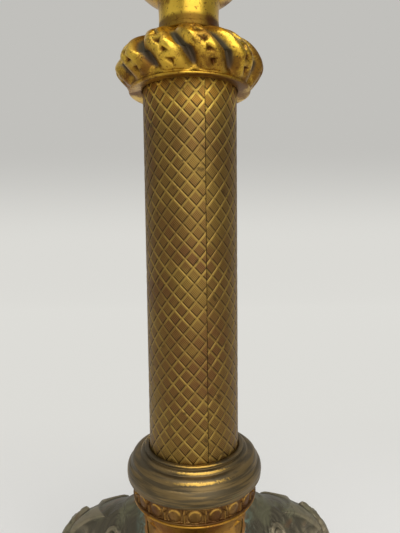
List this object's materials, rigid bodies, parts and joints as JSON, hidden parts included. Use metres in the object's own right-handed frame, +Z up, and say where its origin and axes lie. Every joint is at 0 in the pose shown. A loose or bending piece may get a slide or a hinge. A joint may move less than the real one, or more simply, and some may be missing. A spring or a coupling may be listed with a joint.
{
  "type": "pricket candlestick",
  "caption": "Gilt brass pricket candlestick: three-sided paw-foot base, embossed tubular shaft, twisted turban knop, cup, lift-off drip pan and iron spike for a candle.",
  "frame": {"origin": "on the axis of the stack, on the plane that the paw feet stand on", "axes": "+Z up along the tie rod; -Y is the front, where one leg points; +X is to the right"},
  "size_m": [0.19, 0.1693, 0.4903],
  "materials": {
    "gilt_brass": "worn gilding",
    "dark_brass": "dark patina",
    "embossed_brass": "aged, embossed lattice",
    "iron": "blackened"
  },
  "bodies": {
    "stand": {"base_neck": "gilt_brass", "egg_band": "gilt_brass", "turban_knop": "gilt_brass", "spool": "gilt_brass", "cup": "gilt_brass", "tripod_base": "dark_brass", "lower_collar": "dark_brass", "paw_foot_front": "dark_brass", "paw_foot_right": "dark_brass", "paw_foot_left": "dark_brass", "shaft_sleeve": "embossed_brass", "tie_rod": "iron", "tie_rod_nut": "iron", "clamp_plate": "iron", "top_washer": "iron", "top_nut": "iron", "pricket": "iron", "paw_screws": "iron"},
    "drip_pan": {"drip_pan": "gilt_brass"}
  },
  "joints": [
    {"name": "drip_pan_lift", "type": "slide", "parent": "stand", "child": "drip_pan", "axis": [0, 0, 1], "range_m": [0, 0.082]}
  ]
}
